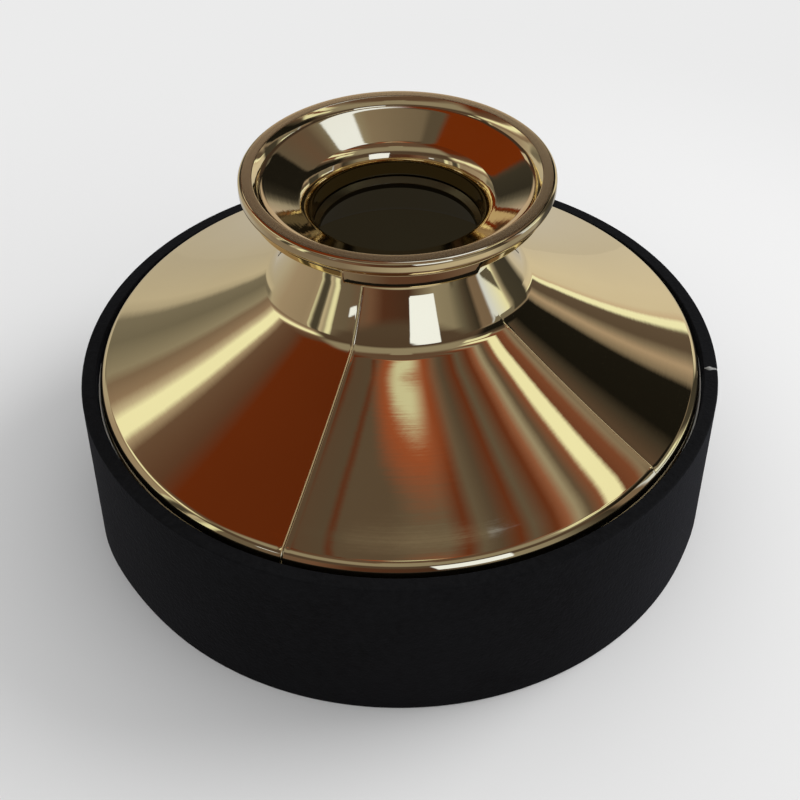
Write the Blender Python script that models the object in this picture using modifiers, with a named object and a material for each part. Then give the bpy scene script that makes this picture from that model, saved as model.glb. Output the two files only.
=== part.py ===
"""Saxophone mute: a plated plastic horn with a foam band that wedges in the instrument's bell.

The mute stands on its foam band, mouth up, with +Z as its axis and the origin at the middle of
the face it rests on. Every piece is a profile turned round that axis, so all of the shape is in
the radii and heights below. Lengths are in metres and angles in radians.
"""
import math

import bpy

MM = 0.001

# Foam band and the tape that holds it
FOAM_RADIUS = 59.0 * MM            # outside of the band, which is the fit in the bell
FOAM_HEIGHT = 31.0 * MM
FOAM_THICKNESS = 2.6 * MM
FOAM_EDGE_ROUND = 0.3 * MM
SPLICE_GAP = 0.3 * MM              # the strip's two ends almost meet
SPLICE_AZIMUTH = math.radians(-8.0)
TAPE_THICKNESS = 0.25 * MM
TAPE_CLEARANCE = 0.2 * MM          # left on each face of the tape
TAPE_INSET = 2.0 * MM              # the tape is this much narrower than the foam at each edge

# Horn shell, from the foot up
CLEARANCE = 0.3 * MM               # left between shell and funnel
SHELL_WALL = 2.0 * MM
SKIRT_LIFT = 1.0 * MM              # the skirt ends this far above the foot of the foam
RIM_RISE = 0.85 * MM               # the cone's edge, before rounding, stands this far above the foam
RIM_ROUND = 2.5 * MM
CONE_SLOPE = math.radians(26.5)    # mean slope between rim and neck
CONE_SAG = 0.6 * MM                # the cone dips this far below a straight line
NECK_SLOPE = math.radians(59.0)
NECK_RUN = 6.1 * MM                # how far the neck draws in from the cone to the waist
NECK_FILLET = 6.0 * MM
WAIST_ROUND = 5.0 * MM
FLARE_HEIGHT = 6.12 * MM           # waist to the underside of the collar
FLARE_RUN = 3.2 * MM
FLARE_FILLET = 4.0 * MM
COLLAR_THICKNESS = 2.6 * MM
COLLAR_ROUND = 0.4 * MM
COLLAR_INSET = 1.2 * MM            # the collar is this much smaller than the lip above it
SEAT_WALL = 0.6 * MM               # material outside the seat at the waist's corner, before rounding
LEDGE_THICKNESS = 2.0 * MM         # the ledge that the funnel's throat stands over
LEDGE_BEVEL = 0.9 * MM
LEDGE_STEP = 1.5 * MM
SKIRT_EDGE_ROUND = 0.4 * MM
CORNER_ROUND = 0.2 * MM

# Mouth funnel
THROAT_RADIUS = 14.7 * MM
THROAT_ROUND = 4.8 * MM            # the bulge between the dish and the throat
THROAT_STRAIGHT = 1.8 * MM
FUNNEL_SLOPE = math.radians(29.0)
FUNNEL_RUN = 6.3 * MM              # width of the straight part of the dish
FUNNEL_WALL = 1.2 * MM
LIP_STEP_WIDTH = 1.2 * MM          # the bevel inside the lip
LIP_STEP_DEPTH = 1.2 * MM
LIP_WIDTH = 2.4 * MM
LIP_THICKNESS = 2.5 * MM
LIP_ROUND = 0.5 * MM

# Facets
TURN_STEPS = 72
EDGE_STEPS = 1                     # a small broken edge is one flat
CORNER_STEPS = 2
FILLET_STEPS = 4
CONE_STEPS = 4

# Radii that follow
tape_outer = FOAM_RADIUS - FOAM_THICKNESS - TAPE_CLEARANCE
tape_inner = tape_outer - TAPE_THICKNESS
skirt_radius = tape_inner - TAPE_CLEARANCE
skirt_inner = skirt_radius - SHELL_WALL
dish_radius = THROAT_RADIUS + THROAT_ROUND * (1 - math.sin(FUNNEL_SLOPE))
step_radius = dish_radius + FUNNEL_RUN
lip_inner = step_radius + LIP_STEP_WIDTH
lip_radius = lip_inner + LIP_WIDTH
collar_radius = lip_radius - COLLAR_INSET
spigot_radius = THROAT_RADIUS + FUNNEL_WALL
seat_radius = spigot_radius + CLEARANCE
bore_radius = THROAT_RADIUS - LEDGE_BEVEL
waist_radius = seat_radius + SEAT_WALL
shoulder_radius = waist_radius + NECK_RUN

# Heights that follow
rim_height = FOAM_HEIGHT + RIM_RISE
shoulder_height = rim_height + (skirt_radius - shoulder_radius) * math.tan(CONE_SLOPE)
waist_height = shoulder_height + NECK_RUN * math.tan(NECK_SLOPE)
collar_base = waist_height + FLARE_HEIGHT
collar_top = collar_base + COLLAR_THICKNESS
lip_base = collar_top + CLEARANCE
lip_top = lip_base + LIP_THICKNESS
step_height = lip_top - LIP_STEP_DEPTH
dish_height = step_height - FUNNEL_RUN * math.tan(FUNNEL_SLOPE)
throat_height = dish_height - THROAT_ROUND * math.cos(FUNNEL_SLOPE)
throat_base = throat_height - THROAT_STRAIGHT
ledge_top = throat_base - CLEARANCE


def wrapped(angle):
    """The same direction as an angle between minus and plus half a turn."""
    return (angle + math.pi) % (2 * math.pi) - math.pi


def meet(start_a, angle_a, start_b, angle_b):
    """Point where two lines cross, each given by a point and an angle above the horizontal."""
    dir_a = (math.cos(angle_a), math.sin(angle_a))
    dir_b = (math.cos(angle_b), math.sin(angle_b))
    gap = (start_b[0] - start_a[0], start_b[1] - start_a[1])
    along = (gap[0] * dir_b[1] - gap[1] * dir_b[0]) / (dir_a[0] * dir_b[1] - dir_a[1] * dir_b[0])
    return (start_a[0] + along * dir_a[0], start_a[1] + along * dir_a[1])


def inward(point, angle, distance):
    """The point moved square to a slope that rises towards the axis, into the wall below it."""
    return (point[0] - distance * math.sin(angle), point[1] - distance * math.cos(angle))


def bowed(start, end, sag, steps):
    """Points between the ends of a slope that rises towards the axis and dips by the sag halfway."""
    slope = math.atan2(abs(end[1] - start[1]), abs(end[0] - start[0]))
    points = []
    for k in range(1, steps):
        share = k / steps
        straight = (start[0] + (end[0] - start[0]) * share, start[1] + (end[1] - start[1]) * share)
        points.append(inward(straight, slope, 4 * sag * share * (1 - share)))
    return points


def arc(centre, radius, start, end, steps):
    """Points on an arc, both ends included."""
    turn = (end - start) / steps
    return [(centre[0] + radius * math.cos(start + turn * k),
             centre[1] + radius * math.sin(start + turn * k)) for k in range(steps + 1)]


def rounded(corners):
    """Outline of a closed polygon whose corners are (radius from axis, height, fillet, steps)."""
    points = []
    for index, (x, z, fillet, steps) in enumerate(corners):
        if fillet == 0:
            points.append((x, z))
            continue
        before = corners[index - 1]
        after = corners[(index + 1) % len(corners)]
        angle_in = math.atan2(before[1] - z, before[0] - x)
        angle_out = math.atan2(after[1] - z, after[0] - x)
        opening = wrapped(angle_out - angle_in)
        reach = fillet / math.sin(abs(opening) / 2)
        middle = angle_in + opening / 2
        centre = (x + reach * math.cos(middle), z + reach * math.sin(middle))
        quarter = math.copysign(math.pi / 2, opening)
        sweep = wrapped(opening - math.copysign(math.pi, opening))
        points += arc(centre, fillet, angle_in - quarter, angle_in - quarter + sweep, steps)
    return points


def material(name, colour, roughness, metallic):
    """One Principled material."""
    mat = bpy.data.materials.new(name)
    mat.use_nodes = True
    shader = mat.node_tree.nodes["Principled BSDF"]
    shader.inputs["Base Color"].default_value = (*colour, 1.0)
    shader.inputs["Roughness"].default_value = roughness
    shader.inputs["Metallic"].default_value = metallic
    mat.diffuse_color = (*colour, 1.0)
    return mat


def turned(name, profile, mat, collection):
    """A closed profile in the XZ plane, turned round the Z axis with a Screw modifier."""
    count = len(profile)
    mesh = bpy.data.meshes.new(name)
    edges = [(k, (k + 1) % count) for k in range(count)]
    mesh.from_pydata([(x, 0.0, z) for x, z in profile], edges, [])
    mesh.materials.append(mat)
    obj = bpy.data.objects.new(name, mesh)
    collection.objects.link(obj)
    screw = obj.modifiers.new("Turn", "SCREW")
    screw.axis = "Z"
    screw.angle = 2 * math.pi
    screw.steps = TURN_STEPS
    screw.render_steps = TURN_STEPS
    screw.use_smooth_shade = True
    screw.use_merge_vertices = True
    screw.merge_threshold = 0.01 * MM
    return obj


def horn_shell(parts):
    """Collar, neck, cone, rim and skirt in one moulding, open from the seat down to the foot."""
    shoulder = (shoulder_radius, shoulder_height)
    rim = (skirt_radius, rim_height)
    cone_inside = inward(rim, CONE_SLOPE, SHELL_WALL)
    neck_inside = inward(shoulder, NECK_SLOPE, SHELL_WALL)
    shoulder_inside = meet(cone_inside, math.pi - CONE_SLOPE, neck_inside, math.pi - NECK_SLOPE)
    skirt_corner = meet(cone_inside, math.pi - CONE_SLOPE, (skirt_inner, 0.0), math.pi / 2)

    # The seat follows the outside of the funnel at the clearance
    seat_offset = FUNNEL_WALL + CLEARANCE
    seat_arc = arc((THROAT_RADIUS + THROAT_ROUND, throat_height), THROAT_ROUND - seat_offset,
                   math.pi, math.pi / 2 + FUNNEL_SLOPE, FILLET_STEPS)
    dish_line = (step_radius + seat_offset * math.sin(FUNNEL_SLOPE),
                 step_height - seat_offset * math.cos(FUNNEL_SLOPE))
    seat_edge = meet(dish_line, FUNNEL_SLOPE, (0.0, collar_top), 0.0)

    profile = rounded([
        (collar_radius, collar_top, COLLAR_ROUND, CORNER_STEPS),
        (collar_radius, collar_base, COLLAR_ROUND, CORNER_STEPS),
        (waist_radius + FLARE_RUN, collar_base, FLARE_FILLET, FILLET_STEPS),
        (waist_radius, waist_height, WAIST_ROUND, FILLET_STEPS),
        (*shoulder, NECK_FILLET, FILLET_STEPS),
        *[(x, z, 0.0, 0) for x, z in bowed(shoulder, rim, CONE_SAG, CONE_STEPS)],
        (*rim, RIM_ROUND, FILLET_STEPS),
        (skirt_radius, SKIRT_LIFT, SKIRT_EDGE_ROUND, EDGE_STEPS),
        (skirt_inner, SKIRT_LIFT, SKIRT_EDGE_ROUND, EDGE_STEPS),
        (*skirt_corner, SHELL_WALL / 2, CORNER_STEPS),
        *[(x, z, 0.0, 0) for x, z in bowed(skirt_corner, shoulder_inside, CONE_SAG, CONE_STEPS)],
        (*shoulder_inside, NECK_FILLET + SHELL_WALL, FILLET_STEPS),
        (bore_radius + LEDGE_STEP, ledge_top - LEDGE_THICKNESS, CORNER_ROUND, EDGE_STEPS),
        (bore_radius, ledge_top - LEDGE_THICKNESS, CORNER_ROUND, EDGE_STEPS),
        (bore_radius, ledge_top - LEDGE_BEVEL, CORNER_ROUND, EDGE_STEPS),
        (THROAT_RADIUS, ledge_top, 0.0, 0),
        (seat_radius, ledge_top, 0.0, 0),
        *[(x, z, 0.0, 0) for x, z in seat_arc],
        (*seat_edge, 0.0, 0),
    ])
    gold = material("plated_shell", (0.83, 0.66, 0.34), 0.08, 1.0)
    return turned("horn_shell", profile, gold, parts)


def mouth_funnel(parts):
    """Flat lip, dish and short throat, standing in the shell's seat."""
    bulge = (THROAT_RADIUS + THROAT_ROUND, throat_height)
    flat = math.pi / 2 + FUNNEL_SLOPE
    dish_outside = (step_radius + FUNNEL_WALL * math.sin(FUNNEL_SLOPE),
                    step_height - FUNNEL_WALL * math.cos(FUNNEL_SLOPE))
    under_lip = meet(dish_outside, FUNNEL_SLOPE, (0.0, lip_base), 0.0)
    profile = rounded([
        (lip_radius, lip_top, LIP_ROUND, CORNER_STEPS),
        (lip_radius, lip_base, LIP_ROUND, CORNER_STEPS),
        (*under_lip, 0.0, 0),
        *[(x, z, 0.0, 0) for x, z in arc(bulge, THROAT_ROUND - FUNNEL_WALL, flat, math.pi, FILLET_STEPS)],
        (spigot_radius, throat_base, CORNER_ROUND, EDGE_STEPS),
        (THROAT_RADIUS, throat_base, CORNER_ROUND, EDGE_STEPS),
        *[(x, z, 0.0, 0) for x, z in arc(bulge, THROAT_ROUND, math.pi, flat, FILLET_STEPS)],
        (step_radius, step_height, 0.0, 0),
        (lip_inner, lip_top, CORNER_ROUND, EDGE_STEPS),
    ])
    gold = material("plated_funnel", (0.80, 0.64, 0.36), 0.16, 1.0)
    return turned("mouth_funnel", profile, gold, parts)


def strip_ring(name, inner, outer, base, top, edge_round, mat, parts, cutter):
    """A strip wound once round the skirt, with its two ends a splice gap apart."""
    profile = rounded([
        (outer, top, edge_round, CORNER_STEPS),
        (outer, base, edge_round, CORNER_STEPS),
        (inner, base, 0.0, 0),
        (inner, top, 0.0, 0),
    ])
    ring = turned(name, profile, mat, parts)
    cut = ring.modifiers.new("Splice", "BOOLEAN")
    cut.operation = "DIFFERENCE"
    cut.solver = "EXACT"
    cut.object = cutter
    return ring


def splice_cutter(cutters):
    """A thin upright blade across the band's wall at the splice."""
    inner_reach = skirt_radius
    outer_reach = FOAM_RADIUS + SHELL_WALL
    middle = (inner_reach + outer_reach) / 2
    bpy.ops.mesh.primitive_cube_add(size=1.0)
    blade = bpy.context.object
    blade.name = "splice_blade"
    for collection in list(blade.users_collection):
        collection.objects.unlink(blade)
    cutters.objects.link(blade)
    blade.scale = (outer_reach - inner_reach, SPLICE_GAP, 2 * FOAM_HEIGHT)
    blade.rotation_euler = (0.0, 0.0, SPLICE_AZIMUTH)
    blade.location = (middle * math.cos(SPLICE_AZIMUTH), middle * math.sin(SPLICE_AZIMUTH),
                      FOAM_HEIGHT / 2)
    blade.hide_render = True
    blade.display_type = "WIRE"
    return blade


def main():
    for obj in list(bpy.data.objects):
        bpy.data.objects.remove(obj, do_unlink=True)
    parts = bpy.data.collections.new("saxophone_mute")
    cutters = bpy.data.collections.new("cutters")
    for collection in (parts, cutters):
        bpy.context.scene.collection.children.link(collection)

    horn_shell(parts)
    mouth_funnel(parts)
    blade = splice_cutter(cutters)
    foam = material("black_foam", (0.022, 0.022, 0.024), 0.85, 0.0)
    tape = material("white_tape", (0.78, 0.76, 0.70), 0.6, 0.0)
    strip_ring("foam_band", FOAM_RADIUS - FOAM_THICKNESS, FOAM_RADIUS, 0.0, FOAM_HEIGHT,
               FOAM_EDGE_ROUND, foam, parts, blade)
    strip_ring("foam_tape", tape_inner, tape_outer, TAPE_INSET, FOAM_HEIGHT - TAPE_INSET,
               0.0, tape, parts, blade)


main()
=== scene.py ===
"""Looks of the saxophone mute: mirror-plated shell and funnel, matt foam band and a plain pale studio.

Lengths are in metres. Slopes are in radians, and azimuths, elevations and other turns in degrees.
The pieces stand round the Z axis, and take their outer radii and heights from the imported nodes.
"""
import math
from collections import namedtuple

import bpy
import numpy as np
from mathutils import Matrix, Vector


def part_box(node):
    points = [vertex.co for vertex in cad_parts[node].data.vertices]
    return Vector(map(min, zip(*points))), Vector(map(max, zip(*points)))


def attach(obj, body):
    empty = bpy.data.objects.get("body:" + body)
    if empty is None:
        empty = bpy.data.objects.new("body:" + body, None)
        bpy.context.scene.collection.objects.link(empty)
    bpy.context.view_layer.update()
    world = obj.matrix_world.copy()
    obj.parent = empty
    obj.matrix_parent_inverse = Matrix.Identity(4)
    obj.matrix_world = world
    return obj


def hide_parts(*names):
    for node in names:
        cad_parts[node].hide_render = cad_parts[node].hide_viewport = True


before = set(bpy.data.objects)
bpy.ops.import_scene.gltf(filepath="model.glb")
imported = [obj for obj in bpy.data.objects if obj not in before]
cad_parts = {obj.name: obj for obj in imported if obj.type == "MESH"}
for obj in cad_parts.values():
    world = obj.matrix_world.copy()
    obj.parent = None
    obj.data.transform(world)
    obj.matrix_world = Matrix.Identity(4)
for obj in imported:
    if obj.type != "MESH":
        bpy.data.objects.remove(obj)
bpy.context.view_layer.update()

MM = 0.001

# Photograph's camera
PHOTO_SIZE = 800
SENSOR = 36.0
FOCAL_PIXELS = 1310.0
OPTICAL_CENTRE = (399.4, 344.3)
CAMERA_AZIMUTH = -90.0
CAMERA_ELEVATION = 40.13
CAMERA_ROLL = -0.70
CAMERA_DISTANCE = 247.0 * MM       # to the point on the axis at the top of the foam
CAMERA_CLIP = 10.0 * MM            # nothing nearer is drawn

# Outer sizes, from the nodes
shell_low, shell_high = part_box("horn_shell")
funnel_low, funnel_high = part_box("mouth_funnel")
foam_low, foam_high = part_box("foam_band")
tape_low, tape_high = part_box("foam_tape")
skirt_radius = shell_high.x
skirt_lift = shell_low.z
collar_top = shell_high.z
lip_radius = funnel_high.x
lip_top = funnel_high.z
throat_base = funnel_low.z
foam_radius = foam_high.x
foam_height = foam_high.z
tape_outer = tape_high.x

# Shell
CLEARANCE = 0.3 * MM
SHELL_WALL = 2.0 * MM
RIM_RISE = 0.85 * MM
RIM_ROUND = 2.5 * MM
CONE_SLOPE = math.radians(26.5)
CONE_SAG = 0.6 * MM                # the cone is this much hollow halfway
NECK_SLOPE = math.radians(59.0)
NECK_RUN = 6.1 * MM
NECK_SAG = 0.3 * MM                # and the neck this much
NECK_FILLET = 6.0 * MM
WAIST_ROUND = 5.0 * MM
FLARE_RUN = 3.2 * MM
FLARE_FILLET = 4.0 * MM
COLLAR_THICKNESS = 2.0 * MM
COLLAR_DROP = 1.1 * MM             # the collar is this much thicker in front
COLLAR_ROUND = 0.5 * MM
COLLAR_LEAN = 0.22 * MM            # its side draws in by this much towards the bottom
COLLAR_INSET = 1.2 * MM
SEAT_WALL = 0.6 * MM
LEDGE_THICKNESS = 2.0 * MM
LEDGE_BEVEL = 0.9 * MM
LEDGE_STEP = 1.5 * MM
SKIRT_EDGE_ROUND = 0.4 * MM
CORNER_ROUND = 0.2 * MM

# Funnel
THROAT_RADIUS = 14.7 * MM
THROAT_ROUND = 4.8 * MM
FUNNEL_SLOPE = math.radians(29.0)
FUNNEL_RUN = 6.3 * MM
FUNNEL_WALL = 1.2 * MM
LIP_STEP_WIDTH = 1.2 * MM
LIP_STEP_DEPTH = 1.2 * MM
LIP_ROUND = 0.7 * MM
GROOVE_WIDTH = 0.35 * MM           # fine groove at the foot of the lip's bevel
GROOVE_DEPTH = 0.15 * MM
SAME_HEIGHT = 0.001 * MM           # faces this near the lip's height belong to its flat ring

# Foam and tape
FOAM_THICKNESS = 2.6 * MM
FOAM_EDGE_ROUND = 0.3 * MM
FOAM_UNEVENNESS = 0.02 * MM
FOAM_WAVES = ((3, 0.4), (7, 1.9), (16, 4.1))  # waves round the band, and where each starts in radians
WAVE_SHARE = 0.5                   # share of the unevenness that comes and goes with the waves
WAVE_TWIST = 90.0                  # radians by which a wave turns in a metre of height
TAPE_THICKNESS = 0.25 * MM
SPLICE_GAP = 0.3 * MM
SPLICE_AZIMUTH = -8.0
SPLICE_PINCH = 0.03                # share of its thickness by which the foam draws in at a cut end
PINCH_REACH = 0.6 * MM

# Where the foam stands off its ring: azimuth, spread, and how far at the top and the bottom
FOAM_BULGES = ((199.0, 13.0, 0.15 * MM, 1.1 * MM), (-16.0, 7.0, 0.1 * MM, 0.35 * MM))

# Thread of glue in the splice
GLUE_WIDTH = 1.1 * MM
GLUE_RISE = 0.38 * MM
GLUE_INSET = 0.15 * MM             # from the foam's outer face
GLUE_SHORTER = 0.35 * MM           # than the foam is thick
GLUE_SUNK = 0.06 * MM              # its middle lies this much below the foam's top
GLUE_TIP = 0.02                    # share of its length that each blunt tip takes
GLUE_LUMPS = (0.2, 9.0, 4.6)       # share of its size, radians along its length, and where they start

# Mould parting lines: azimuth, height and half width of the flash, and its shares on neck and rim
PartingLine = namedtuple("PartingLine", "azimuth height half_width on_neck on_rim")
LEFT_LINE = PartingLine(-110.1, 0.17 * MM, 0.26 * MM, 0.5, 1.9)
RIGHT_LINE = PartingLine(-39.3, 0.05 * MM, 0.14 * MM, 0.0, 0.0)
BACK_LINE = PartingLine(107.0, 0.09 * MM, 0.20 * MM, 0.5, 1.4)
PARTING_LINES = (LEFT_LINE, RIGHT_LINE, BACK_LINE)
LINE_FADE = (46.0 * MM, 50.0 * MM) # heights between which a flash sinks to its share on the neck
LINE_END = 1.0 * MM                # how near the skirt's radius it comes to its share on the rim
BETWEEN_LINES = 1000.0 * MM        # distance given to columns that are on no line

# Between the left and the right line
SECTOR_PROUD = 0.04 * MM           # the front sector of the mould stands this much proud
SECTOR_END = (2.0 * MM, 0.5 * MM)  # distances from the skirt's radius between which that sinks away
COLLAR_STEP_AZIMUTH = -60.0        # where the thicker stretch of the collar ends
COLLAR_STEP_BLEND = 0.8            # either side of it
COLLAR_START_BLEND = 0.3           # either side of the left line, where that stretch starts

# Facets
COLUMNS_PER_DEGREE = 1.0
RUN_SPACING = 1.7 * MM             # steps along an outline are about this long at most
FUNNEL_SPACING = RUN_SPACING / 3
CONE_STEPS = 24
NECK_STEPS = 20
BIG_STEPS = 18
SMALL_STEPS = 7
EDGE_STEPS = 4
GLUE_SIDES = 12
GLUE_STEPS = 17
SHARP_EDGE = 35.0                  # angle from which an edge is drawn sharp
GLUE_SHARP_EDGE = 80.0
FLASH_COLUMNS = np.array([0.0, 0.25, 0.5, 0.75, 1.0])  # shares of a flash's half width
SPLICE_COLUMNS = np.array([0.0, 0.08, 0.2, 0.4, 0.7])  # shares of a column's width at a cut end

# The points of each hollow slope that its fillets leave
NECK_PART = slice(3, -3)
CONE_PART = slice(2, None)
CONE_INSIDE_PART = slice(1, -2)

# Radii and heights that follow
tape_inner = tape_outer - TAPE_THICKNESS
skirt_inner = skirt_radius - SHELL_WALL
rim_height = foam_height + RIM_RISE
collar_base = collar_top - COLLAR_THICKNESS
collar_radius = lip_radius - COLLAR_INSET
lip_base = collar_top + CLEARANCE
dish_radius = THROAT_RADIUS + THROAT_ROUND * (1 - math.sin(FUNNEL_SLOPE))
step_radius = dish_radius + FUNNEL_RUN
lip_inner = step_radius + LIP_STEP_WIDTH
spigot_radius = THROAT_RADIUS + FUNNEL_WALL
seat_radius = spigot_radius + CLEARANCE
bore_radius = THROAT_RADIUS - LEDGE_BEVEL
waist_radius = seat_radius + SEAT_WALL
shoulder_radius = waist_radius + NECK_RUN
shoulder_height = rim_height + (skirt_radius - shoulder_radius) * math.tan(CONE_SLOPE)
waist_height = shoulder_height + NECK_RUN * math.tan(NECK_SLOPE)
step_height = lip_top - LIP_STEP_DEPTH
dish_height = step_height - FUNNEL_RUN * math.tan(FUNNEL_SLOPE)
throat_height = dish_height - THROAT_ROUND * math.cos(FUNNEL_SLOPE)
ledge_top = throat_base - CLEARANCE


# Outlines

def wrapped(angle):
    """The same direction as an angle between minus and plus half a turn."""
    return (angle + math.pi) % (2 * math.pi) - math.pi


def meet(start_a, angle_a, start_b, angle_b):
    """Point where two lines cross, each given by a point and an angle above the horizontal."""
    dir_a = (math.cos(angle_a), math.sin(angle_a))
    dir_b = (math.cos(angle_b), math.sin(angle_b))
    gap = (start_b[0] - start_a[0], start_b[1] - start_a[1])
    along = (gap[0] * dir_b[1] - gap[1] * dir_b[0]) / (dir_a[0] * dir_b[1] - dir_a[1] * dir_b[0])
    return (start_a[0] + along * dir_a[0], start_a[1] + along * dir_a[1])


def inward(point, angle, distance):
    """The point moved square to a slope that rises towards the axis, into the wall below it."""
    return (point[0] - distance * math.sin(angle), point[1] - distance * math.cos(angle))


def bowed(start, end, sag, steps):
    """Points between the ends of a slope that rises towards the axis and dips by the sag halfway."""
    slope = math.atan2(abs(end[1] - start[1]), abs(end[0] - start[0]))
    points = []
    for k in range(1, steps):
        share = k / steps
        straight = (start[0] + (end[0] - start[0]) * share, start[1] + (end[1] - start[1]) * share)
        points.append(inward(straight, slope, 4 * sag * share * (1 - share)))
    return points


def arc(centre, radius, start, end, steps):
    """Points on an arc, both ends included."""
    turn = (end - start) / steps
    return [(centre[0] + radius * math.cos(start + turn * k),
             centre[1] + radius * math.sin(start + turn * k)) for k in range(steps + 1)]


def plain(points):
    """The points as corners without a fillet."""
    return [(x, z, 0.0, 0) for x, z in points]


def rounded(corners):
    """Outline of a closed polygon whose corners are (radius from axis, height, fillet, steps)."""
    points = []
    for index, (x, z, fillet, steps) in enumerate(corners):
        if fillet == 0:
            points.append((x, z))
            continue
        before = corners[index - 1]
        after = corners[(index + 1) % len(corners)]
        angle_in = math.atan2(before[1] - z, before[0] - x)
        angle_out = math.atan2(after[1] - z, after[0] - x)
        opening = wrapped(angle_out - angle_in)
        reach = fillet / math.sin(abs(opening) / 2)
        middle = angle_in + opening / 2
        centre = (x + reach * math.cos(middle), z + reach * math.sin(middle))
        quarter = math.copysign(math.pi / 2, opening)
        sweep = wrapped(opening - math.copysign(math.pi, opening))
        points += arc(centre, fillet, angle_in - quarter, angle_in - quarter + sweep, steps)
    return points


def run_counts(points, spacing):
    """How many steps each side of a closed outline is divided into."""
    ends = points[1:] + points[:1]
    return [max(1, round(math.dist(a, b) / spacing)) for a, b in zip(points, ends)]


def divided(points, counts):
    """The closed outline with each side divided into its count of steps, as an array."""
    fine = []
    for start, end, count in zip(points, points[1:] + points[:1], counts):
        fine += [(start[0] + (end[0] - start[0]) * k / count,
                  start[1] + (end[1] - start[1]) * k / count) for k in range(count)]
    return np.array(fine)


def outline_normals(outline):
    """Unit directions that point out of a closed outline which runs down its outer side."""
    along = np.roll(outline, -1, axis=0) - np.roll(outline, 1, axis=0)
    out = np.stack((-along[:, 1], along[:, 0]), axis=1)
    return out / np.linalg.norm(out, axis=1)[:, None]


def side_middles(outline):
    """Middle of each side of a closed outline."""
    return (outline + np.roll(outline, -1, axis=0)) / 2


def smooth_step(low, high, value):
    """Share from 0 to 1 of the way between two values, with a soft start and end."""
    share = np.clip((value - low) / (high - low), 0, 1)
    return share * share * (3 - 2 * share)


def flash_height(line, offset, radius, height):
    """How far the flash stands out at a distance from the parting line's middle."""
    swell = 1 + (line.on_rim - 1) * np.exp(-((radius - skirt_radius) / LINE_END) ** 2)
    fade = 1 + (line.on_neck - 1) * smooth_step(*LINE_FADE, height)
    share = np.clip(1 - (offset / line.half_width) ** 2, 0, 1) ** 2
    return line.height * swell * fade * share


# Meshes

def new_object(name, data):
    """An object that is linked to the scene."""
    obj = bpy.data.objects.new(name, data)
    bpy.context.scene.collection.objects.link(obj)
    return obj


def grid_object(name, x, y, z, closed, mats, face_material=None, sharp=SHARP_EDGE):
    """Quads from arrays of points: rows follow an outline, columns go round the axis."""
    rows, columns = x.shape
    points = np.stack((x, y, z), axis=-1).reshape(-1, 3)
    last = columns if closed else columns - 1
    i, j = np.meshgrid(np.arange(rows), np.arange(last), indexing="ij")
    down = (i + 1) % rows
    across = (j + 1) % columns
    quads = np.stack((i * columns + j, down * columns + j,
                      down * columns + across, i * columns + across), axis=-1).reshape(-1, 4)
    faces = quads.tolist()
    if not closed:
        faces.append([row * columns for row in reversed(range(rows))])
        faces.append([row * columns + columns - 1 for row in range(rows)])
    mesh = bpy.data.meshes.new(name)
    mesh.from_pydata(points.tolist(), [], faces)
    for mat in mats:
        mesh.materials.append(mat)
    mesh.shade_smooth()
    mesh.set_sharp_from_angle(angle=math.radians(sharp))
    if face_material is not None:
        indices = np.zeros(len(faces), np.int32)
        indices[:rows * last] = np.repeat(face_material, last)
        mesh.polygons.foreach_set("material_index", indices)
    obj = new_object(name, mesh)

    # Flats stay flat right up to their small fillets
    weighted = obj.modifiers.new("weighted_normals", "WEIGHTED_NORMAL")
    weighted.keep_sharp = True
    return obj


# Shader nodes

def grey(value):
    """A grey colour."""
    return (value, value, value, 1.0)


def join(tree, value, socket):
    """Links an output to a socket, or gives the socket a plain value."""
    if isinstance(value, bpy.types.NodeSocket):
        tree.links.new(value, socket)
    else:
        socket.default_value = value


def node(tree, kind, inputs=None, **settings):
    """Adds a shader node; its inputs are values or other nodes' outputs."""
    made = tree.nodes.new(kind)
    for name, value in settings.items():
        setattr(made, name, value)
    for name, value in (inputs or {}).items():
        join(tree, value, made.inputs[name])
    return made


def maths(tree, operation, *values):
    """Output of a Math node."""
    return node(tree, "ShaderNodeMath", dict(enumerate(values)), operation=operation).outputs[0]


def length(tree, vector):
    """Length of a vector."""
    return node(tree, "ShaderNodeVectorMath", {0: vector}, operation="LENGTH").outputs["Value"]


def mapped(tree, value, low, high, start=0.0, end=1.0, kind="LINEAR"):
    """Output of a Map Range node, which takes low to start and high to end."""
    return node(tree, "ShaderNodeMapRange",
                {"Value": value, "From Min": low, "From Max": high, "To Min": start, "To Max": end},
                interpolation_type=kind).outputs[0]


def ramp(tree, fac, *stops):
    """Output of a Color Ramp with stops of (position, grey value or colour)."""
    made = node(tree, "ShaderNodeValToRGB", {"Fac": fac})
    elements = made.color_ramp.elements
    while len(elements) < len(stops):
        elements.new(0.5)
    for element, (position, shade) in zip(elements, stops):
        element.position = position
        element.color = (*shade, 1.0) if isinstance(shade, tuple) else grey(shade)
    return made.outputs["Color"]


def noise(tree, vector, scale, detail=2.0, roughness=0.5):
    """Grey output of a Noise Texture."""
    return node(tree, "ShaderNodeTexNoise", {"Vector": vector, "Scale": scale, "Detail": detail,
                                             "Roughness": roughness}).outputs["Fac"]


def mixed_colour(tree, fac, first, second):
    """Colour output of a Mix node."""
    made = node(tree, "ShaderNodeMix", data_type="RGBA")
    in_use = {socket.name: socket for socket in made.inputs if socket.enabled}
    for name, value in (("Factor", fac), ("A", first), ("B", second)):
        join(tree, value, in_use[name])
    return [socket for socket in made.outputs if socket.enabled][0]


def mixed_shader(tree, fac, first, second):
    """Output of a Mix Shader node."""
    return node(tree, "ShaderNodeMixShader", {0: fac, 1: first, 2: second}).outputs[0]


def light(tree, kind, colour, strength=1.0):
    """Output of an Emission or a Background node."""
    return node(tree, kind, {"Color": colour, "Strength": strength}).outputs[0]


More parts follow.
